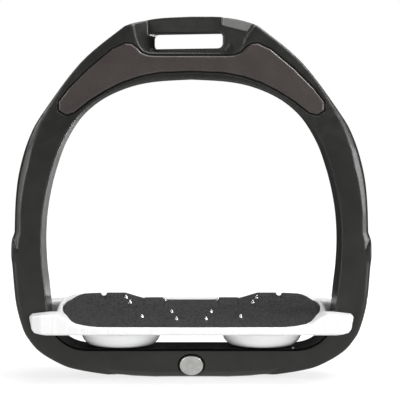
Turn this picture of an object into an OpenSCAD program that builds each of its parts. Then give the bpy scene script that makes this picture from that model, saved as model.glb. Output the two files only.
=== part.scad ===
// Shock-absorbing stirrup iron: one moulded arch, a sprung footbed on two
// rubber bowls, a grip pad with steel studs, inlays on the crown and a badge.
// Axes: X across the foot opening, -Y the toe side, +Z up, base on Z = 0.

/* [Frame] */
// Overall width across the legs
frame_w = 146.6; // [144:0.2:150]
// Overall height from the base to the top of the strap bar
frame_h = 148; // [146:0.5:150]
// Clear width inside the arch at its widest
inside_w = 122; // [120:0.5:123]
// Height of the underside of the crown above the base
inside_top = 122.8; // [121:0.2:124]
// Depth of the legs and of the bottom bar, toe to heel
frame_d = 26; // [25:0.5:28]
// Height of the top face of the bottom bar
bar_top = 12.4; // [12:0.2:13]
// Tilt of the facet along the foot of the bottom bar, from upright
facet_tilt = 28; // [24:1:30]
// Lean of the crown's front and back faces, from upright
crown_lean = 5.3; // [4:0.1:6]
// Tilt of the shoulder faces above the diagonal crease
shoulder_tilt = 12; // [10:1:14]

/* [Strap eye] */
// Turn of the strap bar and its slot about the vertical
eye_turn = 15; // [10:1:15]
// Length of the slot along the strap bar
slot_w = 32; // [28:0.5:33]
// Height of the slot
slot_h = 6.8; // [6:0.2:7]
// Thickness of the strap bar
eye_bar_d = 11; // [10:0.5:12]

/* [Footbed] */
// Width across the wings that flank the legs
bed_w = 130; // [126:0.2:132]
// Depth of the footbed, toe to heel
bed_d = 60; // [56:1:62]
// Height of its flat underside above the base
bed_z = 20; // [20:0.1:21]
// Slope of the tread, rising towards the heel
tread_tilt = 7.2; // [5:0.1:7.2]
// Thickness of the grip pad
pad_t = 1.7; // [1.5:0.1:1.8]

/* [Springs] */
// Distance between the two rubber bowls
bowl_pitch = 58.2; // [56:0.2:60]
// Largest diameter of a bowl
bowl_d = 33; // [31:0.5:34]
// How far the footbed can sink
travel = 2.5; // [1.5:0.1:2.5]

/* [Fixings] */
// Diameter of the clamp screws
screw_d = 5; // [4.5:0.1:5]
// Diameter of the badge
badge_d = 10.2; // [9:0.1:10.6]
// Base diameter of a grip stud
stud_d = 2.4; // [2:0.1:2.6]
// Height of a grip stud above the pad
stud_h = 1.3; // [1:0.1:1.8]

/* [Hidden] */
$fn = 64;
STUDS_PER_SIDE = 6;
// Studs of the right half on the tread, as [x, y]; the left half mirrors them
STUD_SPOTS = [[27.8, 19], [25.9, 14], [20.2, -8], [11.4, 23.4], [8.2, 1], [6, -12]];
STUD_NAMES = [for (side = ["left", "right"], i = [1:STUDS_PER_SIDE]) str("stud_", side, "_", i)];
SIDES = ["left", "right"];
PAIRS = ["elastomer", "clamp_screw", "washer", "captive_nut"];
PAIR_NAMES = [for (part = PAIRS, side = SIDES) str(part, "_", side)];
SINGLES = ["frame", "crest_panel_front", "crest_panel_rear", "badge", "footbed", "grip_pad"];

CHARCOAL = [0.17, 0.17, 0.16];
TAUPE = [0.28, 0.25, 0.24];
WHITE = [0.93, 0.93, 0.94];
PEARL = [0.86, 0.87, 0.88];
SLATE = [0.21, 0.21, 0.22];
STEEL = [0.72, 0.73, 0.74];
BIG = 200;                        // longer than the whole object, for cutting blocks
FIT = 0.2;                        // gap round a piece that is set into a pocket
half_w = frame_w / 2;
half_in = inside_w / 2;
half_d = frame_d / 2;
lean_z = 105;                     // where the crown starts to lean
panel_proud = 0.7;                // the inlay stands proud of the crown by this
panel_t = 2;
crease_out = [0.868 * half_w, 95.4];   // diagonal crease, outer and inner end
crease_in = [0.66 * half_w, 105.3];
facet_z = 10.9;                   // top of the foot facet at the middle
facet_flat = 8.3;                 // half width of its level stretch
facet_drop = 8.2;                 // how the facet's crease falls outwards, degrees
slot_x = -1.3;
slot_z = frame_h - 9.9;
web = 4;                          // bottom bar left above each screw head
head_bore = 14;
head_h = 2.2;
washer_t = 1;
washer_gap = 0.8;                 // slack under the web, so that the footbed can rock
tread_z = 26;                     // tread height over the bowls
bed_notch = half_d + 1.8;         // wings start this far from the middle plane
bed_half = half_in - 5.5;         // half width between the legs
bed_side_cut = 2;                 // slant under each side, which clears the arch's fillets
pad_end = 53.4;                   // reach of the pad's pointed ends
pad_rise = 2.2;                   // the pad's ends turn up by this
pad_flat = 36;
nut_t = 2.3;
nut_w = 8;
nut_z = bed_z + 0.7;
washer_z = bar_top - web - washer_gap - washer_t;
head_z = washer_z - head_h;

// Smooth curve through points, ends included, n steps a stretch
function curve_at(a, b, c, d, t) =
    0.5 * (2 * b + (c - a) * t + (2 * a - 5 * b + 4 * c - d) * t * t
           + (3 * b - a - 3 * c + d) * t * t * t);
function curve(p, n) = concat(
    [for (i = [0:len(p) - 2], k = [0:n - 1])
        curve_at(p[max(i - 1, 0)], p[i], p[i + 1], p[min(i + 2, len(p) - 1)], k / n)],
    [p[len(p) - 1]]);
function sized(p, w, h) = [for (q = p) [q[0] * w, q[1] * h]];
function mirrored(p) = concat(p, [for (i = [len(p) - 1:-1:0]) if (p[i][0] > 0.001) [-p[i][0], p[i][1]]]);

// Right half of each outline, as shares of the half width and the height
OUTER_UP = [[0, 1], [0.15, 0.998], [0.25, 0.992], [0.345, 0.978], [0.403, 0.961], [0.616, 0.872],
            [0.82, 0.738], [0.897, 0.671], [0.952, 0.586], [0.976, 0.507], [0.985, 0.405]];
OUTER_LOW = [[0.998, 0.385], [1, 0.345], [0.994, 0.29], [0.977, 0.207], [0.941, 0.14],
             [0.905, 0.107], [0.843, 0.073], [0.727, 0.0405], [0.62, 0.024], [0.423, 0.0074],
             [0.205, 0]];
INNER_UP = [[0, 1], [0.252, 0.992], [0.436, 0.972], [0.615, 0.931], [0.757, 0.87],
            [0.861, 0.787], [0.923, 0.704], [0.966, 0.622], [0.992, 0.54], [1, 0.457],
            [0.993, 0.375], [0.976, 0.3], [0.962, 0.231]];

module outer_outline() {
    polygon(mirrored(concat(curve(sized(OUTER_UP, half_w, frame_h), 3),
                            curve(sized(OUTER_LOW, half_w, frame_h), 3), [[0, 0]])));
}

module foot_opening() {
    up = curve(sized(INNER_UP, half_in, inside_top), 3);
    low = up[len(up) - 1];
    corner = low[1] - bar_top;
    bend = [for (a = [10:10:90]) [low[0] - corner + corner * cos(a), low[1] - corner * sin(a)]];
    polygon(mirrored(concat(up, bend)));
}

// A flat outline stood up in the XZ plane, from y0 to y1
module upright(y0, y1) {
    translate([0, y1, 0]) rotate([90, 0, 0]) linear_extrude(y1 - y0) children();
}

// Everything in front of the crown's leaning face, moved forward by gap
module before_crown(gap = 0) {
    translate([-BIG / 2, -half_d, lean_z]) rotate([-crown_lean, 0, 0])
        translate([0, -BIG - gap, 0]) cube([BIG, BIG, BIG]);
}

module before_shoulder() {
    run = crease_in - crease_out;
    translate([crease_out[0], -half_d, crease_out[1]])
        rotate([0, -atan2(run[1], run[0]), 0]) rotate([shoulder_tilt, 0, 0])
            translate([-BIG / 2, -BIG, -BIG]) cube([BIG, BIG, BIG]);
}

module before_foot() {
    translate([-facet_flat, -half_d, facet_z]) rotate([facet_tilt, 0, 0])
        translate([0, -BIG, -BIG]) cube([2 * facet_flat, BIG, BIG]);
    for (side = [0, 1]) mirror([side, 0, 0]) intersection() {
        translate([facet_flat, -half_d, facet_z]) rotate([0, facet_drop, 0])
            rotate([facet_tilt, 0, 0]) translate([-BIG / 2, -BIG, -BIG]) cube([BIG, BIG, BIG]);
        translate([facet_flat, -BIG / 2, -BIG / 2]) cube([BIG, BIG, BIG]);
    }
}

// Outline of the strap bar between the horns, extruded along the turned bar's thickness
module between_horns(y0, y1) {
    side = curve([[0, 133.2], [14, 133.2], [16, 134], [17.2, 136.4], [18.6, 140], [20.5, 143.4],
                  [22.5, 146], [25, 149]], 3);
    rotate([0, 0, -eye_turn]) upright(y0, y1) polygon(mirrored(side));
}

// The turned bar: recessed between the horns at one end, proud of the crown at the other
module strap_bar() {
    intersection() {
        between_horns(-eye_bar_d / 2, eye_bar_d / 2);
        upright(-half_d, half_d) outer_outline();
    }
}

module slot_prism(grow = 0) {
    w = slot_w / 2 - 2 + grow;
    h = slot_h / 2 - 2 + grow;
    rotate([0, 0, -eye_turn]) translate([slot_x, 0, slot_z])
        for (x = [-1, 1], z = [-1, 1]) {
            translate([x * w, 0, z * h]) rotate([90, 0, 0]) cylinder(r = 2, h = BIG, center = true);
            cube([2 * w, BIG, 2 * h + 4], center = true);
            cube([2 * w + 4, BIG, 2 * h], center = true);
        }
}

PANEL_EDGE = [[0, 131.7], [16.3, 131.7], [18.6, 132.2], [21.6, 133.6], [24, 136.6], [27, 136.8],
              [32.3, 134.4], [41.6, 126.6], [49.8, 118.4], [54.3, 112.3], [53.6, 109.2],
              [51, 107.8], [47.8, 108.6], [41.6, 113.5], [35.1, 117.6], [28.6, 120.9],
              [20.9, 123.5], [13.1, 125], [0, 125.5]];

// The inlay's outline as a slab that leans with the crown, between two depths
module crest_slab(proud, deep) {
    intersection() {
        upright(-BIG / 2, 0) polygon(mirrored(PANEL_EDGE));
        translate([-BIG / 2, -half_d, lean_z]) rotate([-crown_lean, 0, 0])
            translate([0, -proud, -20]) cube([BIG, proud + deep, 70]);
    }
}

module badge_frame() {
    drop = facet_z / 2;
    translate([0, -half_d + drop * tan(facet_tilt), facet_z - drop])
        rotate([90 + facet_tilt, 0, 0]) children();
}

module frame() {
    color(CHARCOAL) difference() {
        union() {
            difference() {
                upright(-half_d, half_d) difference() {
                    outer_outline();
                    foot_opening();
                }
                for (turn = [0, 180]) rotate([0, 0, turn]) {
                    before_crown();
                    before_foot();
                    between_horns(-BIG, -eye_bar_d / 2);
                    for (side = [0, 1]) mirror([side, 0, 0]) before_shoulder();
                }
            }
            strap_bar();
        }
        for (turn = [0, 180]) rotate([0, 0, turn]) crest_slab(panel_proud, panel_t - panel_proud);
        slot_prism();
        badge_frame() translate([0, 0, -1.2]) cylinder(d = badge_d + 2 * FIT, h = 10);
        for (x = [-1, 1]) translate([x * bowl_pitch / 2, 0, 0]) {
            translate([0, 0, -1]) cylinder(d = screw_d + 3, h = BIG / 4);
            translate([0, 0, -1]) cylinder(d = head_bore, h = bar_top - web + 1);
        }
    }
}

module crest_panel_front() {
    color(TAUPE) crest_slab(panel_proud, panel_t - panel_proud);
}

module crest_panel_rear() {
    color(TAUPE) rotate([0, 0, 180]) crest_slab(panel_proud, panel_t - panel_proud);
}

module badge() {
    color(STEEL) badge_frame() translate([0, 0, -1.2]) rotate_extrude() difference() {
        square([badge_d / 2, 1.8]);
        translate([badge_d / 2 - 0.9, 1.5]) square([0.5, 1]);
    }
}

// Places its children on the tread: origin over the bowls, top face at z = 0
module on_tread() {
    translate([0, 0, tread_z]) rotate([tread_tilt, 0, 0]) children();
}

PAD_EDGE = [[0, 25.6], [11, 25.6], [12.5, 26.4], [46, 26.4], [49.5, 22], [52.4, 14], [53.4, 4],
            [52.8, -4], [51.3, -11.6], [49.4, -18], [47.4, -23.4], [45.6, -26], [42, -27.2],
            [0, -28.4]];

module pad_outline(grow = 0) {
    polygon([for (q = mirrored(PAD_EDGE)) [q[0] + grow * sign(q[0]), q[1] + grow * sign(q[1])]]);
}

// Section of the tread across the foot: level in the middle, turned up at the ends
module tread_section(low, high) {
    end = half_w;
    rise = pad_rise * (end - pad_flat) / (pad_end - pad_flat);
    polygon([[-end, low + rise], [-pad_flat, low], [pad_flat, low], [end, low + rise],
             [end, high + rise], [pad_flat, high], [-pad_flat, high], [-end, high + rise]]);
}

module grip_pad() {
    color(SLATE) on_tread() difference() {
        union() {
            intersection() {
                translate([0, 0, -10]) linear_extrude(30) pad_outline();
                upright(-BIG / 2, BIG / 2) tread_section(-pad_t, 0);
            }
            for (side = [0, 1]) mirror([side, 0, 0]) intersection() {
                translate([0, 0, -1]) linear_extrude(30) pad_outline();
                translate([12, 0, 0]) rotate([90, 0, 90]) linear_extrude(37)
                    polygon([[8, -1], [8, 0], [21, 2.7], [26.4, 3], [26.4, -1]]);
                upright(-BIG / 2, BIG / 2) polygon([[11, -1], [11, 0.9], [19.8, 0.9], [20.2, 0.5],
                    [28.4, 3], [36.2, 3], [36.8, 1.7], [38.2, 1.7], [38.8, 2.9], [47.6, 2.5],
                    [53, 1.5], [53, 0.5], [40, -1]]);
            }
        }
        for (s = [-1, 1], q = STUD_SPOTS) stud_place([s * q[0], q[1]]) {
            translate([0, 0, -1.2]) cylinder(d = stud_d * 0.6 + 0.1, h = 10, $fn = 24);
            cylinder(d = stud_d + 0.1, h = 10, $fn = 24);
        }
    }
}

module wing(y0, y1, top) {
    for (side = [0, 1]) mirror([side, 0, 0])
        upright(y0, y1) polygon([[45, bed_z], [45, top - 5], [50.5, top - 1.4], [54, top + 0.2],
            [bed_w / 2 - 0.6, top - 0.7], [bed_w / 2, top - 1.3], [bed_w / 2 - 1.2, bed_z + 2.2],
            [bed_w / 2 - 2.6, bed_z + 0.7], [bed_w / 2 - 7, bed_z]]);
}

module bed_plan() {
    cut = 6;
    difference() {
        polygon(mirrored([[0, bed_d / 2], [bed_w / 2 - cut, bed_d / 2], [bed_w / 2, bed_d / 2 - cut],
                          [bed_w / 2, cut - bed_d / 2], [bed_w / 2 - cut, -bed_d / 2],
                          [0, -bed_d / 2]]));
        for (side = [0, 1]) mirror([side, 0, 0])
            translate([bed_half, -bed_notch]) square([BIG, 2 * bed_notch]);
    }
}

module footbed() {
    color(WHITE) difference() {
        intersection() {
            translate([0, 0, bed_z]) linear_extrude(20) bed_plan();
            union() {
                difference() {
                    upright(-bed_d / 2, bed_d / 2) polygon(mirrored([[0, bed_z + 20],
                        [bed_half, bed_z + 20], [bed_half, bed_z + travel],
                        [bed_half - bed_side_cut, bed_z], [0, bed_z]]));
                    on_tread() upright(-BIG / 2, BIG / 2) tread_section(0.4, 30);
                }
                wing(-bed_d / 2, -bed_notch, bed_z + 8.1);
                wing(bed_notch, bed_d / 2, bed_z + 9.7);
            }
        }
        on_tread() intersection() {
            translate([0, 0, -10]) linear_extrude(40) pad_outline(FIT);
            upright(-BIG / 2, BIG / 2) tread_section(-pad_t - 0.05, 30);
        }
        for (x = [-1, 1]) translate([x * bowl_pitch / 2, 0, 0]) {
            translate([0, 0, nut_z]) linear_extrude(10) circle(d = (nut_w + FIT) / cos(30), $fn = 6);
            translate([0, 0, bed_z - 1]) cylinder(d = screw_d + 0.4, h = 10);
        }
    }
}

// Rubber bowl: rounded foot on the bar, steep wall, crowned top clear of the footbed
module elastomer() {
    r = bowl_d / 2;
    foot = 8;
    bore = screw_d / 2 + 1;
    top = bed_z - 0.3;
    wall = [for (a = [0:15:75]) [foot + (r - 1.6 - foot) * sin(a), bar_top + 2.3 * (1 - cos(a))]];
    crown = [for (x = [r - 1.2:-4:bore]) [x, top - pow(x, 2) / 272]];
    color(PEARL) rotate_extrude() polygon(concat([[bore, bar_top]], wall,
        [[r - 1.2, bar_top + 2.4], [r - 0.7, bar_top + 4], [r, bed_z - 2.1]], crown, [[bore, top - pow(bore, 2) / 272]]));
}

// Low-headed screw, entered from below, with a hexagon socket
module clamp_screw() {
    color(STEEL) difference() {
        union() {
            translate([0, 0, head_z]) cylinder(d = 9, h = head_h);
            translate([0, 0, head_z + 1]) cylinder(d = screw_d, h = nut_z + nut_t - head_z - 1.2);
        }
        translate([0, 0, head_z - 1]) linear_extrude(2.4) circle(d = 3 / cos(30), $fn = 6);
    }
}

module washer() {
    color(STEEL) translate([0, 0, washer_z]) difference() {
        cylinder(d = 12, h = washer_t);
        translate([0, 0, -1]) cylinder(d = screw_d + 0.3, h = 3);
    }
}

module captive_nut() {
    color(STEEL) translate([0, 0, nut_z]) difference() {
        linear_extrude(nut_t) circle(d = nut_w / cos(30), $fn = 6);
        translate([0, 0, -1]) cylinder(d = screw_d + 0.1, h = nut_t + 2);
    }
}

// Height of the raised rear blocks under a stud, then the stud's own place
module stud_place(q) {
    lift = (abs(q[0]) > 24 && q[1] > 8) ? 0.2 * (q[1] - 8) : 0;
    translate([q[0], q[1], lift]) children();
}

module stud(q) {
    color(STEEL) on_tread() stud_place(q) {
        translate([0, 0, -1.2]) cylinder(d = stud_d * 0.6, h = 1.5, $fn = 24);
        cylinder(d1 = stud_d, d2 = stud_d * 0.4, h = stud_h, $fn = 24);
    }
}

module at_side(side) {
    translate([(side == "left" ? -1 : 1) * bowl_pitch / 2, 0, 0]) children();
}

frame();
crest_panel_front();
crest_panel_rear();
badge();
footbed();
grip_pad();
for (side = SIDES) {
    at_side(side) elastomer();
    at_side(side) clamp_screw();
    at_side(side) washer();
    at_side(side) captive_nut();
    for (i = [1:STUDS_PER_SIDE])
        stud([(side == "left" ? -1 : 1) * STUD_SPOTS[i - 1][0], STUD_SPOTS[i - 1][1]]);
}
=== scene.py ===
"""Looks for the shock-absorbing stirrup iron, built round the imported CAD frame.

Lengths inside the shape functions are in millimetres and are scaled to metres
when a mesh is made. X runs across the foot opening, -Y is the toe side and +Z up.
Rounded mouldings are made as distance fields, negative inside, and then meshed.
"""

import itertools
import math

import bmesh
import bpy
import numpy as np
from mathutils import Matrix, Vector


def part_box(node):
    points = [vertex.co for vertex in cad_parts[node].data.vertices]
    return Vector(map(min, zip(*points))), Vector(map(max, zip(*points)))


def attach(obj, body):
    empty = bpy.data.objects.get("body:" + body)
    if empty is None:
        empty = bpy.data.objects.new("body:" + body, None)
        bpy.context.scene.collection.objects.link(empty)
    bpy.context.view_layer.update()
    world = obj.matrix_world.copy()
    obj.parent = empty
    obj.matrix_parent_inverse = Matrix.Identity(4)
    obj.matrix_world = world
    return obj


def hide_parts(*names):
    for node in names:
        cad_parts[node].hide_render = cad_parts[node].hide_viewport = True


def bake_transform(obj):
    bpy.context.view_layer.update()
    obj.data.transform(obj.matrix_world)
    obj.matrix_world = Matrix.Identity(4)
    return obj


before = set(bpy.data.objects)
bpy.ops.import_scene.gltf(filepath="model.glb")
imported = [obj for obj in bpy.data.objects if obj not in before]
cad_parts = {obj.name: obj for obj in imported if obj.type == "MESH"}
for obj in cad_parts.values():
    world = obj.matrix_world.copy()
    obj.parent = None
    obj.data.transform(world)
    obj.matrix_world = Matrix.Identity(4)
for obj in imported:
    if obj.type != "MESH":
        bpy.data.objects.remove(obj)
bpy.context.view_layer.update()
MM = 0.001


# ---------------------------------------------------------------- sizes, in mm
def node_box(name):
    low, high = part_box(name)
    return [c / MM for c in low], [c / MM for c in high]


FRAME_LOW, FRAME_HIGH = node_box("frame")
BED_LOW, BED_HIGH = node_box("footbed")
BOWL_LOW, BOWL_HIGH = node_box("elastomer_right")
HALF_W = FRAME_HIGH[0]
HEIGHT = FRAME_HIGH[2]
HALF_D = FRAME_HIGH[1]
HALF_IN = 61.0
INSIDE_TOP = 122.8
BAR_TOP = BOWL_LOW[2]
BED_Z = BED_LOW[2]
BOWL_X = (BOWL_LOW[0] + BOWL_HIGH[0]) / 2
BOWL_R = (BOWL_HIGH[0] - BOWL_LOW[0]) / 2
CREASE_X = 0.868 * HALF_W             # outer end of the diagonal crease under each shoulder
CREASE_Z = 95.4
SHOULDER_TILT = math.radians(12)
LEAN_Z = 105                          # where the crown starts to lean
CROWN_LEAN = math.radians(5.3)
WAIST_X = 70.9                        # just below here, on each side, the legs are widest
WAIST_Z = 54
FACET_TILT = math.radians(28)         # facet along the foot of the bottom bar, from upright
FACET_TOP = 10.9
FACET_FLAT = 8.3                      # half width of its level stretch
FACET_DROP = math.radians(8.2)
EYE_TURN = math.radians(15)           # turn of the strap bar about the vertical
EYE_HALF_D = 5.5
SLOT_U = -1.3                         # middle of the slot along the bar
SLOT_Z = 138.1
SLOT_HALF_W = 15.8
SLOT_HALF_H = 3.2
SCREW_HOLE_R = 4
HEAD_BORE_R = 7
HEAD_BORE_TOP = 8.4
BADGE_R = 5.1
BADGE_SEAT_R = 5.45
# the badge faces along BADGE_N, from the middle of the facet
BADGE_N = Vector((0, -math.cos(FACET_TILT), -math.sin(FACET_TILT)))
BADGE_AT = Vector((0, -HALF_D + FACET_TOP / 2 * math.tan(FACET_TILT), FACET_TOP / 2))
TREAD_Z = 26.0                        # height of the tread over the bowls
TREAD_TILT = math.radians(7.2)
TREAD_FLAT = 36                       # half width of its level middle
TREAD_RISE = 2.2                      # its ends turn up by this, over the length of TREAD_RUN
TREAD_RUN = 17.4
PAD_T = 1.7
BED_SIDE = 55.5                       # half width of the footbed between the legs
BED_NOTCH = 14.8                      # the wings start this far from the middle plane
STUDS_PER_SIDE = 6

# right half of the arch's outlines, as shares of its half width and height
OUTER_UP = [(0, 1), (0.15, 0.998), (0.25, 0.992), (0.345, 0.978), (0.403, 0.961), (0.616, 0.872),
            (0.82, 0.738), (0.897, 0.671), (0.952, 0.586), (0.976, 0.507), (0.985, 0.405)]
OUTER_LOW = [(0.998, 0.385), (1, 0.345), (0.994, 0.29), (0.977, 0.207), (0.941, 0.14),
             (0.905, 0.107), (0.843, 0.073), (0.727, 0.0405), (0.62, 0.024),
             (0.423, 0.0074), (0.205, 0)]
INNER_UP = [(0, 1), (0.252, 0.992), (0.436, 0.972), (0.615, 0.931), (0.757, 0.87),
            (0.861, 0.787), (0.923, 0.704), (0.966, 0.622), (0.992, 0.54), (1, 0.457),
            (0.993, 0.375), (0.976, 0.3), (0.962, 0.231)]
# right half of the inlay's outline, as (x, z)
PANEL_EDGE = [(0, 131.7), (14, 131.7), (17.4, 131.9), (20.2, 132.9), (22.2, 135), (24.4, 136.6),
              (27, 136.8), (32.3, 134.4), (41.6, 126.6), (49.8, 118.4), (54, 112.8), (53.9, 109.6),
              (51, 107.8), (47.8, 108.6), (41.6, 113.5), (35.1, 117.6), (28.6, 120.9),
              (20.9, 123.5), (13.1, 125), (0, 125.5)]
# ends of the hollow in front of the strap bar, of the bar, and of the hollow at its foot, each as
# (distance along the turned bar, z)
HORN_EDGE = [(0, 133.2), (14, 133.2), (16.2, 133.9), (17.8, 135.6), (19, 138), (20.1, 141),
             (21.4, 144.2), (23, 147), (26, 153)]
BAR_EDGE = [(0, 133.2), (19, 133.2), (20.8, 133.5), (21.9, 134.5), (22.9, 136.6), (23.8, 139),
            (25.2, 141.6), (26.9, 144), (28.4, 147), (32, 154)]
EYE_FOOT = [(0, 133.2), (13.6, 133.2), (15.6, 133.8), (16.8, 135.4), (17.1, 138), (17.1, 155)]
# right half of the grip pad's outline, as (x, y)
PAD_EDGE = [(0, 25.6), (11, 25.6), (12.5, 26.4), (46, 26.4), (49.5, 22), (52.4, 14), (53.4, 4),
            (52.8, -4), (51.3, -11.6), (49.4, -18), (47.4, -23.4), (45.6, -26), (42, -27.2), (0, -28.4)]


# ------------------------------------------------------------ outlines, curves
def curve(points, steps=6):
    """Smooth curve through the points, ends included."""
    out = []
    for i in range(len(points) - 1):
        a, b, c, d = (np.array(points[min(max(j, 0), len(points) - 1)], float)
                      for j in (i - 1, i, i + 1, i + 2))
        for k in range(steps):
            t = k / steps
            out.append(0.5 * (2 * b + (c - a) * t + (2 * a - 5 * b + 4 * c - d) * t * t
                              + (3 * b - a - 3 * c + d) * t ** 3))
    return out + [np.array(points[-1], float)]


def sized(points, w, h):
    return [(x * w, z * h) for x, z in points]


def mirrored(half):
    """Whole outline from its right half, which starts and ends on the mirror line."""
    half = [tuple(p) for p in half]
    return np.array(half + [(-x, z) for x, z in reversed(half) if x > 1e-3])


def outer_outline():
    return mirrored(curve(sized(OUTER_UP, HALF_W, HEIGHT)) + curve(sized(OUTER_LOW, HALF_W, HEIGHT))
                    + [(0, 0)])


def foot_opening():
    side = curve(sized(INNER_UP, HALF_IN, INSIDE_TOP))
    x, z = side[-1]
    corner = z - BAR_TOP
    turn = [math.radians(a) for a in range(5, 91, 5)]
    bend = [(x - corner + corner * math.cos(a), z - corner * math.sin(a)) for a in turn]
    return mirrored(side + bend)


# -------------------------------------------------------------- distance fields
def polygon_field(outline, a, b):
    """Signed distance from the points (a, b) to a closed outline, negative inside."""
    best = np.full(a.shape, 1e9, np.float32)
    inside = np.zeros(a.shape, bool)
    for (x0, y0), (x1, y1) in zip(outline, np.roll(outline, -1, axis=0)):
        ex, ey = x1 - x0, y1 - y0
        length = ex * ex + ey * ey
        if length < 1e-12:
            continue
        t = np.clip(((a - x0) * ex + (b - y0) * ey) / length, 0, 1)
        best = np.minimum(best, (a - x0 - t * ex) ** 2 + (b - y0 - t * ey) ** 2)
        if y0 != y1:
            inside ^= ((b < y0) != (b < y1)) & (a < ex * (b - y0) / ey + x0)
    return np.where(inside, -1, 1).astype(np.float32) * np.sqrt(best)


def box_field(a, b, half_a, half_b, r):
    """Signed distance to a rectangle with corners of radius r."""
    qa, qb = np.abs(a) - half_a + r, np.abs(b) - half_b + r
    return np.hypot(np.maximum(qa, 0), np.maximum(qb, 0)) + np.minimum(np.maximum(qa, qb), 0) - r


def higher(a, b, r):
    """The larger of two values, with a soft change over within r from one to the other."""
    h = np.maximum(r - np.abs(a - b), 0) / r
    return np.maximum(a, b) + h * h * r * 0.25


def both(a, b, r):
    """Where two fields overlap, with edges rounded to about radius r."""
    return higher(a, b, r)


def either(a, b, r):
    """Two fields joined, with the corners between them filled to about radius r."""
    return -higher(-a, -b, r)


def cut(a, b, r):
    """Field a with b taken out of it, with edges rounded to about radius r."""
    return higher(a, -b, r)


def slant(normal, *distances):
    """Distance along a slanting direction, from the distances along the ones that it mixes."""
    return sum(share * distance for share, distance in zip(normal, distances))


class Block:
    """Sample points filling a box, as arrays that broadcast along X, Y and Z."""

    def __init__(self, low, high, step):
        axes = [np.arange(first - 2 * step, last + 2 * step, step, dtype=np.float32)
                for first, last in zip(low, high)]
        self.step = step
        self.origin = np.array([a[0] for a in axes])
        self.x = axes[0][:, None, None]
        self.y = axes[1][None, :, None]
        self.z = axes[2][None, None, :]

    def on_xz(self, outline):
        a, b = np.broadcast_arrays(self.x[:, 0, :], self.z[:, 0, :])
        return polygon_field(outline, a, b)[:, None, :]

    def on_xy(self, outline):
        a, b = np.broadcast_arrays(self.x[:, :, 0], self.y[:, :, 0])
        return polygon_field(outline, a, b)[:, :, None]


def surface(field, block):
    """Quads along the zero surface of a field, one corner in each cell that the surface crosses."""
    inside = field < 0
    n = [s - 1 for s in field.shape]
    corners = list(itertools.product((0, 1), repeat=3))
    count = sum(inside[i:n[0] + i, j:n[1] + j, k:n[2] + k].astype(np.int8) for i, j, k in corners)
    cells = np.argwhere((count > 0) & (count < 8))
    total, hits = np.zeros((len(cells), 3)), np.zeros(len(cells))
    for a, b in itertools.combinations(corners, 2):
        if sum(abs(p - q) for p, q in zip(a, b)) != 1:
            continue
        fa, fb = (field[tuple((cells + c).T)].astype(float) for c in (a, b))
        cross = (fa < 0) != (fb < 0)
        t = np.where(cross, fa / np.where(cross, fa - fb, 1), 0)
        total += np.where(cross[:, None], np.array(a) + t[:, None] * (np.array(b) - np.array(a)), 0)
        hits += cross
    points = block.origin + (cells + total / hits[:, None]) * block.step
    index = np.full(n, -1, np.int64)
    index[tuple(cells.T)] = np.arange(len(cells))
    quads = []
    for axis in range(3):
        u, v = [k for k in range(3) if k != axis]
        near = np.take(inside, range(0, n[axis]), axis)
        far = np.take(inside, range(1, n[axis] + 1), axis)
        for flip, edges in ((False, np.argwhere(near & ~far)), (True, np.argwhere(~near & far))):
            keep = (edges[:, u] > 0) & (edges[:, v] > 0) & (edges[:, u] < n[u]) & (edges[:, v] < n[v])
            edges = edges[keep]
            ring = []
            for du, dv in ((1, 1), (0, 1), (0, 0), (1, 0)):
                cell = edges.copy()
                cell[:, u] -= du
                cell[:, v] -= dv
                ring.append(index[tuple(cell.T)])
            quad = np.stack(ring, 1)
            quads.append(quad[:, ::-1] if flip != (axis == 1) else quad)
    return points, np.concatenate(quads)


# ------------------------------------------------------------------- mesh tools
def add_object(name, mesh):
    obj = bpy.data.objects.new(name, mesh)
    bpy.context.scene.collection.objects.link(obj)
    return obj


def thin_out(obj, keep):
    """Merges faces where the surface is flattest, until the given share of them is left."""
    modifier = obj.modifiers.new("Decimate", "DECIMATE")
    modifier.ratio = keep
    depsgraph = bpy.context.evaluated_depsgraph_get()
    mesh = bpy.data.meshes.new_from_object(obj.evaluated_get(depsgraph))
    obj.modifiers.clear()
    obj.data = mesh


def field_object(name, field, block, keep):
    """Mesh object of a field, thinned out to the share of faces in keep."""
    points, quads = surface(field, block)
    mesh = bpy.data.meshes.new(name)
    mesh.from_pydata((points * MM).tolist(), [], quads.tolist())
    mesh.validate()
    obj = add_object(name, mesh)
    thin_out(obj, keep)
    obj.data.name = name
    obj.data.shade_smooth()
    return obj


UPWARDS = Vector((0, 0, 1))


def lathe_object(name, profile, at, axis, steps):
    """Turns a closed (radius, height) profile about an axis through a point, in mm."""
    bm = bmesh.new()
    turn = UPWARDS.rotation_difference(axis).to_matrix().to_4x4()
    stand = Matrix.Translation(Vector(at)) @ turn
    rings = []
    for k in range(steps):
        a = 2 * math.pi * k / steps
        rings.append([bm.verts.new(stand @ Vector((r * math.cos(a), r * math.sin(a), z)) * MM)
                      for r, z in profile])
    for k in range(steps):
        one, two = rings[k], rings[(k + 1) % steps]
        for i in range(len(profile)):
            j = (i + 1) % len(profile)
            bm.faces.new((one[i], two[i], two[j], one[j]))
    bmesh.ops.remove_doubles(bm, verts=bm.verts, dist=1e-7)
    bmesh.ops.recalc_face_normals(bm, faces=bm.faces)
    mesh = bpy.data.meshes.new(name)
    bm.to_mesh(mesh)
    bm.free()
    obj = add_object(name, mesh)
    mesh.shade_smooth()
    return obj


# ------------------------------------------------------------------- the shapes
def turned(x, y):
    """Along and across the turned strap bar."""
    c, s = math.cos(EYE_TURN), math.sin(EYE_TURN)
    return x * c - y * s, x * s + y * c


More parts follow.
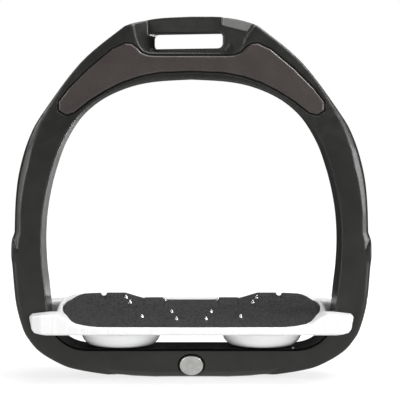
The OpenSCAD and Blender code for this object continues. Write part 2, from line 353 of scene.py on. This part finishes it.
def half_depth(x, z):
    """Half the depth of the arch at a place in its front view."""
    crease = slant((0.545, 0.838), np.abs(x) - CREASE_X, z - CREASE_Z)
    shoulder = crease * math.tan(SHOULDER_TILT)
    lean = (z - LEAN_Z) * math.tan(CROWN_LEAN)
    edge = FACET_TOP - np.maximum(np.abs(x) - FACET_FLAT, 0) * math.tan(FACET_DROP)
    foot = (edge - z) * math.tan(FACET_TILT)
    return HALF_D - higher(higher(shoulder, lean, 1.2), higher(foot, 0, 0.15), 0.15)


def badge_place(x, y, z):
    """Height over the foot facet at the badge, and distance from the badge's axis."""
    dy, dz = y - BADGE_AT.y, z - BADGE_AT.z
    q = dy * BADGE_N.y + dz * BADGE_N.z
    return q, np.sqrt(np.maximum(x ** 2 + dy ** 2 + dz ** 2 - q ** 2, 0))


def by_height(b, heights, values):
    return np.interp(b.z, heights, values).astype(np.float32)


def arch_body(b, outer, depth):
    """The plain arch, with its edges rounded and chamfered."""
    face = np.abs(b.y) - depth
    body = both(outer, face, by_height(b, [3, 12, 30], [0.05, 0.35, 0.7]))
    # below the waist, softer outer edges down the legs and crisp ones under the bottom bar
    soft = np.interp(np.abs(b.x), [44, 62], [0.7, 3.2]).astype(np.float32)
    above = slant((0.858, 0.515), WAIST_X - np.abs(b.x), WAIST_Z - b.z)
    body = both(body, either(both(outer, face, soft), above, 3), 0.3)
    # above the waist, a chamfer in two facets, which narrows at the shoulder and ends in a ledge
    wide = by_height(b, [56, 68, 87, 121], [2.9, 2.5, 3.5, 0.6])
    outer_wide = 0.26 * wide
    inner_facet = slant((0.53, 0.85), outer + wide, face)
    outer_facet = slant((0.93, 0.38), outer + outer_wide, face + 0.62 * (wide - outer_wide))
    ledge = slant((0.57, 0.41, 0.71), WAIST_X - np.abs(b.x), b.z - WAIST_Z + 0.5, face + 0.8)
    body = both(body, either(both(inner_facet, outer_facet, 0.2), ledge, 0.2), 0.3)
    return cut(body, b.on_xz(foot_opening()), 0.5)


def with_strap_bar(body, b, outer):
    """Adds the turned strap bar, recessed between the horns at one end and proud at the other."""
    u, v = turned(b.x, b.y)
    # each outline's field is worked out once, and looked up by the distance along the turned bar
    reach = np.arange(-90, 90, b.step, dtype=np.float32)
    index = (u[:, :, 0] - reach[0]) / b.step
    below = np.floor(index).astype(int)
    part = (index - below)[:, :, None].astype(np.float32)
    grid = np.broadcast_arrays(reach[:, None], b.z[0])
    tables = [polygon_field(mirrored(edge), *grid) for edge in (HORN_EDGE, EYE_FOOT, BAR_EDGE)]
    rim, foot, end = (t[below] * (1 - part) + t[below + 1] * part for t in tables)
    # the hollow in front of the bar narrows from the horns' rim to its foot at the bar
    inward = np.clip((np.abs(v) - EYE_HALF_D) / 10.5, 0, 1)
    hollow = foot + (rim - foot) * inward
    body = cut(body, both(hollow, EYE_HALF_D - np.abs(v), 0.4), 1.3)
    bar = both(both(end, np.abs(v) - EYE_HALF_D, 0.5), outer, 0.7)
    body = either(body, bar, 0.2)
    slot = box_field(u - SLOT_U, b.z - SLOT_Z, SLOT_HALF_W, SLOT_HALF_H, 2.0)
    body = cut(body, slot, 0.5)
    # slanting facet over the proud end of the strap bar, on both sides
    side = b.x * -np.sign(b.y)
    slope = (b.z + np.abs(b.y) - 153.1) / 1.414
    return cut(body, both(both(-slope, 12.6 - side, 0.2), end + 0.4, 0.2), 0.3)


def make_frame():
    b = Block(FRAME_LOW, FRAME_HIGH, 0.4)
    outer = b.on_xz(outer_outline())
    depth = half_depth(b.x, b.z)
    body = with_strap_bar(arch_body(b, outer, depth), b, outer)
    # seats for the inlays and the badge
    seat = both(b.on_xz(mirrored(PANEL_EDGE)) - 0.45, depth - 0.9 - np.abs(b.y), 0.3)
    body = cut(body, seat, 0.3)
    q, radial = badge_place(b.x, b.y, b.z)
    body = cut(body, both(radial - BADGE_SEAT_R, -0.8 - q, 0.2), 0.3)
    # screw holes and head bores
    off = np.hypot(np.abs(b.x) - BOWL_X, b.y)
    body = cut(body, both(off - SCREW_HOLE_R, b.z - 2 * BAR_TOP, 0.3), 0.4)
    body = cut(body, both(off - HEAD_BORE_R, b.z - HEAD_BORE_TOP, 0.3), 0.5)
    return field_object("arch_frame", body, b, 0.55)


def make_panel(name, side):
    """Raised inlay on one face of the crown; side is -1 on the toe side and 1 on the heel side."""
    low, high = node_box("crest_panel_front" if side < 0 else "crest_panel_rear")
    b = Block(low, high, 0.25)
    height = b.y * side - half_depth(b.x, b.z)
    edge = b.on_xz(mirrored(PANEL_EDGE))
    body = both(edge, height - 0.45, 0.2)
    body = both(body, (edge + height + 0.1) / 1.414, 0.15)
    body = both(body, -0.85 - height, 0.2)
    return field_object(name, body, b, 0.4)


def tread_height(x, y):
    """Top of the tread: it slopes up to the heel, and its ends turn up."""
    ends = higher(np.abs(x) - TREAD_FLAT, 0, 6) * TREAD_RISE / TREAD_RUN
    return TREAD_Z + y * math.tan(TREAD_TILT) + ends


def ramp(value, low, high):
    t = np.clip((value - low) / (high - low), 0, 1)
    return t * t * (3 - 2 * t)


def rib_distance(along, pitch):
    """Distance to the nearest rib's middle, for ribs repeated at the given pitch."""
    return np.abs((along + pitch / 2) % pitch - pitch / 2)


def make_footbed():
    b = Block(BED_LOW, BED_HIGH, 0.4)
    w, d = BED_HIGH[0], BED_HIGH[1]
    corner = [(w - 5, d), (w - 1.5, d - 2), (w, d - 6)]
    plan = b.on_xy(mirrored([(0, d)] + corner + [(x, -y) for x, y in reversed(corner)] + [(0, -d)]))
    far = np.abs(b.x)
    # the rim stands a little over the tread, and drops away at the heel's corners
    drop = np.interp(far, [46, 50, BED_SIDE], [0, 0.6, 3.4]) * ramp(b.y, 9, 18)
    rim = tread_height(b.x, b.y) + 0.4 - drop
    across = [45, 48, 50.5, 54, 57, w - 0.6, w]
    toe_wing = np.interp(far, across, [23.1, 24.8, 26.6, 28.2, 28.2, 27.4, 26.8])
    wing = np.where(b.y < 0, toe_wing, toe_wing + 1.6)
    top = rim + np.maximum(wing - rim, 0) * ramp(np.abs(b.y), 8, 15.5)
    top = np.where(far > BED_SIDE, wing, top)
    body = both(plan, b.z - top, 0.5)
    # the wings' ends slope in towards the underside, and so do the sides between the legs
    ends = b.on_xz(mirrored([(0, BED_Z + 20), (w, BED_Z + 20), (w, BED_Z + 6.8),
                             (w - 1.2, BED_Z + 2.2), (w - 2.6, BED_Z + 0.7), (w - 7, BED_Z),
                             (0, BED_Z)]))
    body = both(body, ends, 0.35)
    under = (BED_SIDE - 2 + 0.8 * (b.z - BED_Z) - far) / 1.28
    beside = np.minimum(BED_SIDE - far, under)
    body = cut(body, both(beside, np.abs(b.y) - BED_NOTCH, 1.5), 1.5)
    floor = tread_height(b.x, b.y) - PAD_T - 0.05
    well = both(b.on_xy(mirrored(PAD_EDGE)) - 0.25, floor - b.z, 0.3)
    body = cut(body, well, 0.4)
    # cored out from below, where it is thick, between ribs
    off = np.hypot(far - BOWL_X, b.y)
    ribs = np.minimum(rib_distance(b.x, 12), rib_distance(b.y, 11)) - 0.7
    area = box_field(b.x, b.y - 9.5, 49, 16, 3)
    core = both(both(area, -ribs, 1.0), 18 - off, 1.0)
    core = both(core, b.z - (floor - 1.6), 0.8)
    body = cut(body, core, 0.5)
    body = cut(body, off - 2.8, 0.3)
    return field_object("footbed_tray", body, b, 0.5)


def cleat(x, y):
    """Height of the pad's raised blocks, along the heel edge, above the level of the tread."""
    across = [11, 12, 19.8, 20.2, 28.4, 36.2, 36.8, 38.2, 38.8, 47.6, 53]
    rise = np.interp(np.abs(x), across, [0, 0.9, 0.9, 0.5, 3, 3, 1.7, 1.7, 2.9, 2.5, 1.5])
    along = np.interp(y, [8, 21, 26.4], [0, 2.7, 3])
    return np.minimum(rise, along)


def make_pad():
    low, high = node_box("grip_pad")
    b = Block(low, high, 0.4)
    level = TREAD_Z + b.y * math.tan(TREAD_TILT)
    top = higher(tread_height(b.x, b.y), level + cleat(b.x, b.y), 0.2)
    body = both(b.on_xy(mirrored(PAD_EDGE)), b.z - top, 0.7)
    body = both(body, tread_height(b.x, b.y) - PAD_T - b.z, 0.3)
    return field_object("grip_pad_cover", body, b, 0.6)


def make_bowl(name, x):
    """Rubber bowl: rounded foot on the bar, steep wall and crowned top, with a bore for its screw."""
    bore = 3.6
    side = curve([(7, BAR_TOP), (9.8, 12.5), (11.8, 12.85), (13.6, 13.55), (15, 14.75),
                  (15.8, 15.9), (16.3, 17.1)], 4)
    crown = curve([(BOWL_R - 0.02, 17.9), (16.1, 18.55), (14, 18.95), (9, 19.35), (bore, 19.64)], 4)
    profile = [(bore, BAR_TOP)] + [tuple(p) for p in side + crown]
    return lathe_object(name, profile, (x, 0, 0), UPWARDS, 128)


def make_badge():
    """Slightly domed disc, with a low step round its rim."""
    profile = [(0, 0.46), (2.6, 0.45), (4.0, 0.42), (4.55, 0.4), (4.68, 0.3), (4.76, 0.12),
               (4.95, 0.12), (BADGE_R - 0.05, 0.02), (BADGE_R, -0.1), (BADGE_R, -0.75), (0, -0.75)]
    return lathe_object("badge_disc", profile, BADGE_AT, BADGE_N, 128)


def make_stud(name, node):
    """Blunt cone on a thin flange, square to the tread, with its shank in the pad."""
    low, high = node_box(node)
    tilt = Vector((0, -math.sin(TREAD_TILT), math.cos(TREAD_TILT)))
    foot = Vector(((low[0] + high[0]) / 2, (low[1] + high[1]) / 2, low[2])) + tilt * 1.2
    foot.z += 0.1
    profile = [(0, 1.2), (0.22, 1.15), (0.4, 1.02), (0.56, 0.72), (0.68, 0.35), (0.78, 0.08),
               (1.1, 0.0), (1.1, -0.15), (0.68, -0.2), (0.68, -1.1), (0, -1.1)]
    return lathe_object(name, profile, foot, tilt, 32)


# -------------------------------------------------------------------- materials
class Finish:
    """One material: noise in object space, in metres, drives its colour, roughness and bump."""

    def __init__(self, name, rough, **sockets):
        self.mat = bpy.data.materials.new(name)
        self.mat.use_nodes = True
        self.tree = self.mat.node_tree
        self.shader = self.tree.nodes["Principled BSDF"]
        self.shader.inputs["Roughness"].default_value = rough
        for key, value in sockets.items():
            self.shader.inputs[key.replace("_", " ")].default_value = value
        self.coords = self.tree.nodes.new("ShaderNodeTexCoord").outputs["Object"]

    def feed(self, socket, value):
        if isinstance(value, bpy.types.NodeSocket):
            self.tree.links.new(value, socket)
        else:
            socket.default_value = value

    def node(self, kind, settings=(), **inputs):
        """Adds a node; inputs are given by name, or by number as _0, _1 and so on."""
        node = self.tree.nodes.new("ShaderNode" + kind)
        for key, value in dict(settings).items():
            setattr(node, key, value)
        for key, value in inputs.items():
            index = int(key[1:]) if key[0] == "_" else key.replace("_", " ")
            self.feed(node.inputs[index], value)
        return node

    def noise(self, size, detail, stretch=(1, 1, 1)):
        """Noise with features of about the given size in mm, drawn out along each axis by stretch."""
        scale = tuple(1 / (size * MM * k) for k in stretch)
        at = self.node("Mapping", Vector=self.coords, Scale=scale).outputs[0]
        return self.node("TexNoise", Vector=at, Scale=1.0, Detail=detail).outputs[0]

    def cells(self, size):
        """Distance from the middle of the nearest grain, with grains of about the given size in mm."""
        at = self.node("Mapping", Vector=self.coords, Scale=(1 / (size * MM),) * 3).outputs[0]
        return self.node("TexVoronoi", {"feature": "SMOOTH_F1"}, Vector=at, Scale=1.0).outputs[0]

    def vector(self, operation, *values):
        inputs = {f"_{i}": value for i, value in enumerate(values)}
        return self.node("VectorMath", {"operation": operation}, **inputs)

    def times(self, one, two):
        return self.node("Math", {"operation": "MULTIPLY"}, _0=one, _1=two).outputs[0]

    def spread(self, value, low, high, start=0.3, end=0.7):
        """Stretches the middle of a noise's range to run from low to high."""
        ends = {"From_Min": start, "From_Max": end, "To_Min": low, "To_Max": high}
        return self.node("MapRange", Value=value, **ends).outputs[0]

    def mixed(self, amount, one, two):
        colours = [c if isinstance(c, bpy.types.NodeSocket) else (*c, 1) for c in (one, two)]
        node = self.node("Mix", {"data_type": "RGBA"}, _0=amount, _6=colours[0], _7=colours[1])
        return node.outputs[2]

    def colour(self, value):
        self.feed(self.shader.inputs["Base Color"], value)

    def colour_so_far(self):
        return self.shader.inputs["Base Color"].links[0].from_socket

    def rough(self, value):
        self.feed(self.shader.inputs["Roughness"], value)

    def bump(self, *layers):
        """Stacks bumps, each given as a height and its depth in mm."""
        normal = None
        for height, depth in layers:
            node = self.node("Bump", Height=height, Distance=depth * MM, Strength=1.0)
            if normal:
                self.tree.links.new(normal, node.inputs["Normal"])
            normal = node.outputs[0]
        self.tree.links.new(normal, self.shader.inputs["Normal"])

    def edges(self):
        """How far a place is on an outer edge, where handling polishes and scuffs it."""
        return self.spread(self.node("NewGeometry").outputs["Pointiness"], 0.0, 1.0, 0.53, 0.62)


def moulding(name, dark, light, worn, grain, rough):
    """Moulded part: spark-eroded grain, cloudy sheen, and edges that are rubbed or darkened in use."""
    low, high = rough
    f = Finish(name, low)
    clouds = f.spread(f.noise(9, 3), 0.0, 1.0)
    scuffs = f.spread(f.noise(1.6, 4, (1, 1, 5)), 0.0, 1.0, 0.45, 0.7)
    rubbed = f.times(f.edges(), scuffs)
    f.colour(f.mixed(rubbed, f.mixed(clouds, dark, light), worn))
    f.rough(f.spread(f.noise(3.5, 4), low, high))
    f.bump((f.noise(grain, 2), 0.012), (f.noise(grain * 3.2, 2), 0.018))
    return f


def painted_shade_on_bar(f):
    """Paints shade on the top of the bottom bar and the corners next to it, under the footbed: matt and
    black.
    """
    up = f.node("SeparateXYZ", Vector=f.node("NewGeometry").outputs["Normal"]).outputs[2]
    height = f.node("SeparateXYZ", Vector=f.coords).outputs[2]
    low = f.spread(height, 1.0, 0.0, 22 * MM, 27 * MM)
    amount = f.times(f.spread(up, 0.0, 1.0, 0.05, 0.3), low)
    # painted shade: up-facing places below 22 to 27 mm turn black and lose most of their reflection
    f.colour(f.mixed(amount, f.colour_so_far(), (0.001, 0.001, 0.001)))
    f.feed(f.shader.inputs["Specular IOR Level"], f.spread(amount, 0.5, 0.02, 0.0, 1.0))
    return f.mat


def grit(name):
    """Grip compound: coarse grains set in rubber, paler where they catch on boots."""
    f = Finish(name, 0.8, Specular_IOR_Level=0.25)
    grains = f.cells(0.75)
    dust = f.spread(f.noise(6, 4), 0.0, 1.0, 0.35, 0.75)
    body = f.mixed(f.spread(grains, 0.0, 1.0, 0.1, 0.6), (0.022, 0.022, 0.022), (0.01, 0.01, 0.01))
    f.colour(f.mixed(f.times(dust, 0.25), body, (0.035, 0.035, 0.034)))
    f.rough(f.spread(grains, 0.62, 0.92, 0.1, 0.7))
    f.bump((f.noise(0.25, 2), 0.03), (f.spread(grains, 1.0, 0.0, 0.0, 0.8), 0.12))
    return f.mat


def rubber(name):
    """Glossy white elastomer: faint flow lines round the bowl and a soft orange peel."""
    f = Finish(name, 0.13, Coat_Weight=0.4, Coat_Roughness=0.06)
    flow = f.noise(2.2, 3, (6, 6, 1))
    f.colour(f.mixed(f.spread(flow, 0.0, 1.0), (0.86, 0.862, 0.865), (0.92, 0.922, 0.925)))
    f.rough(f.spread(f.noise(1.1, 3), 0.1, 0.22))
    f.bump((f.noise(1.4, 2), 0.012), (flow, 0.01))
    return f.mat


def metal(name, dark, light, rough, size, stretch=(1, 1, 1)):
    """Bare or plated metal: fine tool marks, drawn out along one axis, and cloudy brightness."""
    low, high = rough
    f = Finish(name, low, Metallic=1.0)
    marks = f.noise(size, 3, stretch)
    f.colour(f.mixed(f.spread(f.noise(2.5, 3), 0.0, 1.0), dark, light))
    f.rough(f.spread(marks, low, high))
    f.bump((marks, 0.008))
    return f


def badge_metal(name):
    """Brushed disc, with dark paint on the low step round its rim."""
    f = metal(name, (0.62, 0.63, 0.60), (0.76, 0.77, 0.74), (0.38, 0.55), 0.16, (40, 1, 1))
    offset = f.vector("SUBTRACT", f.coords, tuple(BADGE_AT * MM)).outputs[0]
    along = f.vector("DOT_PRODUCT", offset, tuple(BADGE_N)).outputs[1]
    reach = f.vector("LENGTH", offset).outputs[1]
    # by Pythagoras, the distance from the badge's axis
    rest = f.node("Math", {"operation": "SUBTRACT"}, _0=f.times(reach, reach), _1=f.times(along, along))
    radius = f.node("Math", {"operation": "SQRT"}, _0=rest.outputs[0]).outputs[0]
    ring = f.spread(radius, 0.0, 1.0, 4.7 * MM, 4.76 * MM)
    f.colour(f.mixed(ring, f.colour_so_far(), (0.03, 0.03, 0.028)))
    return f.mat


def dress(obj, mat):
    obj.data.materials.clear()
    obj.data.materials.append(mat)


MATS = {
    # the frame's moulding, with painted shade on the top of the bottom bar
    "frame_moulding": painted_shade_on_bar(
        moulding("frame_moulding", dark=(0.012, 0.012, 0.0108), light=(0.0175, 0.0175, 0.0155),
                 worn=(0.003, 0.003, 0.003), grain=0.4, rough=(0.30, 0.40))),
    "inlay":
        moulding("inlay", dark=(0.043, 0.036, 0.035), light=(0.053, 0.045, 0.043),
                 worn=(0.10, 0.09, 0.088), grain=0.36, rough=(0.22, 0.30)).mat,
    "footbed_moulding":
        moulding("footbed_moulding", dark=(0.735, 0.735, 0.73), light=(0.78, 0.78, 0.78),
                 worn=(0.73, 0.725, 0.715), grain=0.28, rough=(0.36, 0.48)).mat,
    "grip_rubber": grit("grip_rubber"),
    "spring_rubber": rubber("spring_rubber"),
    "badge_metal": badge_metal("badge_metal"),
    "fastener_steel":
        metal("fastener_steel", dark=(0.50, 0.50, 0.47), light=(0.62, 0.63, 0.66),
              rough=(0.26, 0.42), size=0.2).mat,
    "stud_steel":
        metal("stud_steel", dark=(0.62, 0.62, 0.62), light=(0.75, 0.75, 0.76),
              rough=(0.14, 0.3), size=0.12, stretch=(6, 6, 1)).mat,
}


# ------------------------------------------------------- pieces on their bodies
def add_piece(obj, body, slot, *nodes):
    dress(obj, MATS[slot])
    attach(obj, body)
    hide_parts(*nodes)


add_piece(make_frame(), "arch", "frame_moulding", "frame")
add_piece(make_panel("toe_inlay", -1), "arch", "inlay", "crest_panel_front")
add_piece(make_panel("heel_inlay", 1), "arch", "inlay", "crest_panel_rear")
add_piece(make_badge(), "arch", "badge_metal", "badge")
add_piece(make_footbed(), "footrest", "footbed_moulding", "footbed")
add_piece(make_pad(), "footrest", "grip_rubber", "grip_pad")
for side, x in (("left", -BOWL_X), ("right", BOWL_X)):
    bowl = make_bowl("bowl_" + side, x)
    dress(bowl, MATS["spring_rubber"])
    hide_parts("elastomer_" + side)
    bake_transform(bowl)
    for i in range(1, STUDS_PER_SIDE + 1):
        node = f"stud_{side}_{i}"
        add_piece(make_stud(f"cone_{side}_{i}", node), "footrest", "stud_steel", node)
# the screws, washers and nuts are the CAD nodes that no piece replaces
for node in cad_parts.values():
    if not node.hide_render:
        dress(node, MATS["fastener_steel"])


# ------------------------------------------------------------- camera and light
scene = bpy.context.scene
scene.view_settings.view_transform = "Standard"

camera = bpy.data.objects.new("camera", bpy.data.cameras.new("camera"))
scene.collection.objects.link(camera)
camera.location = (0, -0.7, 0.0966)
camera.rotation_euler = (math.radians(90 - 1.95), 0, 0)
camera.data.lens = 152.5
camera.data.sensor_width = 36
camera.data.shift_x = 0.0215
camera.data.clip_start = 0.01
scene.camera = camera


def area_light(name, location, target, size, watts):
    data = bpy.data.lights.new(name, "AREA")
    data.shape = "RECTANGLE"
    data.size, data.size_y = size
    data.energy = watts
    light = bpy.data.objects.new(name, data)
    scene.collection.objects.link(light)
    light.location = location
    light.rotation_euler = (Vector(target) - Vector(location)).to_track_quat("-Z", "Y").to_euler()
    light.visible_camera = False
    return light


area_light("softbox_top", (0.25, 0.02, 0.95), (0.1, 0, 0.05), (1.1, 0.85), 10)
area_light("softbox_left", (-0.92, -0.62, 0.22), (0, 0, 0.05), (0.5, 0.5), 4.8)
area_light("softbox_right", (0.85, -0.42, 0.24), (0, 0, 0.06), (0.4, 0.6), 9)
area_light("high_right", (0.72, 0.0, 0.86), (0, 0, 0.1), (0.26, 0.26), 4)
area_light("high_left", (-0.85, 0.0, 0.62), (0, 0, 0.06), (0.3, 0.3), 2.2)
area_light("back_glow", (0.098, 0.35, 0.01), (-0.06, 0, 0.03), (0.065, 0.012), 0.1)
area_light("back_high", (-0.1, 0.8, 0.8), (0, 0, 0.06), (0.6, 0.5), 2.5)
fill = area_light("low_front", (0, -0.9, 0.045), (0, 0, 0.02), (0.7, 0.07), 2.8)
fill.visible_glossy = False


def shown_to_camera(tree, seen, unseen, output):
    """Shows the camera one shader, and lights the object and shows in its reflections with another."""
    path = tree.nodes.new("ShaderNodeLightPath")
    mix = tree.nodes.new("ShaderNodeMixShader")
    tree.links.new(path.outputs["Is Camera Ray"], mix.inputs[0])
    tree.links.new(unseen, mix.inputs[1])
    tree.links.new(seen, mix.inputs[2])
    tree.links.new(mix.outputs[0], output.inputs["Surface"])


def make_world():
    world = bpy.data.worlds.new("studio")
    world.use_nodes = True
    tree = world.node_tree
    white, room = tree.nodes["Background"], tree.nodes.new("ShaderNodeBackground")
    white.inputs[0].default_value = (1, 1, 1, 1)
    white.inputs[1].default_value = 1.0
    room.inputs[0].default_value = (1, 1, 1, 1)
    # the room is dim, and dimmer still behind the object
    look = tree.nodes.new("ShaderNodeTexCoord")
    parts = tree.nodes.new("ShaderNodeSeparateXYZ")
    fade = tree.nodes.new("ShaderNodeMapRange")
    for name, value in (("From Min", -0.4), ("From Max", 0.5), ("To Min", 0.11), ("To Max", 0.02)):
        fade.inputs[name].default_value = value
    tree.links.new(look.outputs["Generated"], parts.inputs[0])
    tree.links.new(parts.outputs[1], fade.inputs[0])
    tree.links.new(fade.outputs[0], room.inputs[1])
    shown_to_camera(tree, white.outputs[0], room.outputs[0], tree.nodes["World Output"])
    return world


def make_floor():
    """White sweep, which runs into the white background far off and takes only a faint shadow."""
    bpy.ops.mesh.primitive_plane_add(size=12, location=(0, 0, 0))
    floor = bpy.context.object
    floor.name = "studio_floor"
    f = Finish("studio_floor", 0.6)
    reach = f.vector("LENGTH", f.coords).outputs[1]
    glow = f.node("Emission", Strength=f.spread(reach, 0.78, 1.0, 0.15, 0.9)).outputs[0]
    shade = f.node("BsdfDiffuse", Color=(0.26, 0.26, 0.26, 1)).outputs[0]
    seen = f.node("AddShader", _0=glow, _1=shade)
    # what lights the object from below comes from the floor in front of it
    ahead = f.vector("SUBTRACT", f.coords, (0, -0.25, 0)).outputs[0]
    distance = f.vector("LENGTH", ahead).outputs[1]
    unseen = f.node("Emission", Strength=f.spread(distance, 0.7, 0.03, 0.15, 0.75))
    shown_to_camera(f.tree, seen.outputs[0], unseen.outputs[0], f.tree.nodes["Material Output"])
    dress(floor, f.mat)


scene.world = make_world()
make_floor()
